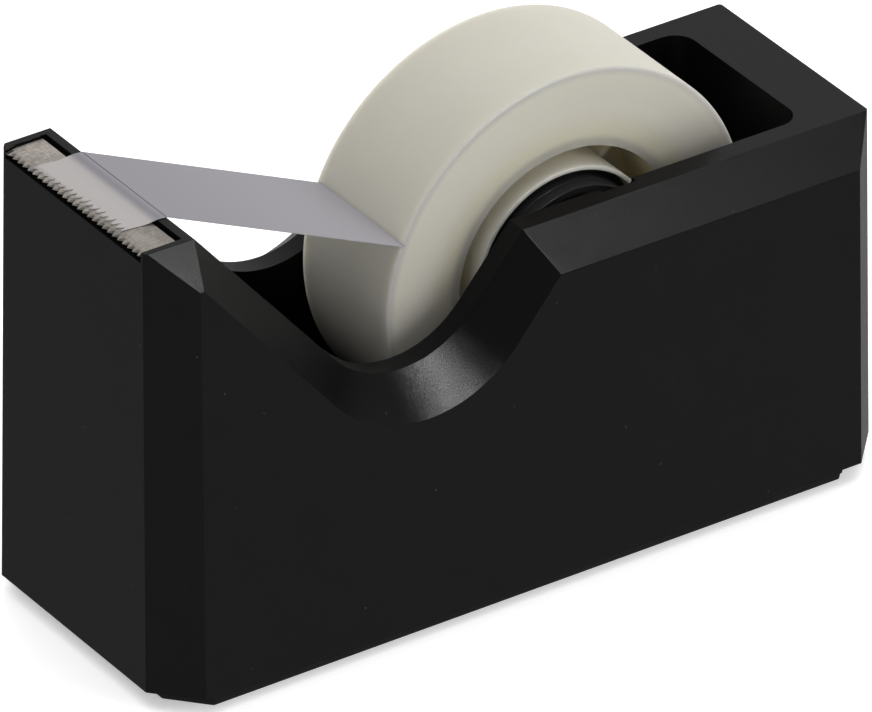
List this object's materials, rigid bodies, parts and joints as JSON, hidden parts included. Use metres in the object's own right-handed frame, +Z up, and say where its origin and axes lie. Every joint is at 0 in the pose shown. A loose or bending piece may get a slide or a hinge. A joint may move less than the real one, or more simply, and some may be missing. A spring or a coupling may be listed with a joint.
{
  "type": "tape dispenser",
  "caption": "Weighted desk tape dispenser: moulded housing with a toothed blade on its nose and a roll of tape on a hub that drops into slots.",
  "frame": {"origin": "middle of the underside of the foot pad, on the desk", "axes": "+X along the housing from the nose to the rear, +Y along the axle, +Z up"},
  "size_m": [0.11, 0.0446, 0.0653],
  "materials": {
    "housing_plastic": "black, fine matte texture",
    "cover_plastic": "black, matte",
    "pad_rubber": "black, non-slip",
    "ballast_iron": "as cast",
    "ballast_steel": "plain sheet",
    "screw_steel": "bright",
    "blade_steel": "brushed",
    "axle_steel": "plain",
    "tape_film": "frosted film, translucent",
    "hub_plastic": "dark grey, satin",
    "core_plastic": "milky, slightly yellow",
    "tape_roll": "creamy white, matte"
  },
  "bodies": {
    "base": {"housing": "housing_plastic", "base_cover": "cover_plastic", "foot_pad": "pad_rubber", "ballast_block": "ballast_iron", "ballast_plate": "ballast_steel", "cover_screws": "screw_steel", "cutter_blade": "blade_steel"},
    "spindle": {"axle": "axle_steel", "tape_strip": "tape_film"},
    "roll": {"hub_drum": "hub_plastic", "hub_cap_near": "hub_plastic", "hub_cap_far": "hub_plastic", "tape_core": "core_plastic", "tape_winding": "tape_roll"}
  },
  "joints": [
    {"name": "roll_lift", "type": "slide", "parent": "base", "child": "spindle", "axis": [0.3746, 0, 0.9272], "range_m": [0, 0.015]},
    {"name": "roll_spin", "type": "hinge", "parent": "spindle", "child": "roll", "pos_m": [0.0128, 0, 0.0383], "axis": [0, 1, 0], "continuous": true}
  ]
}
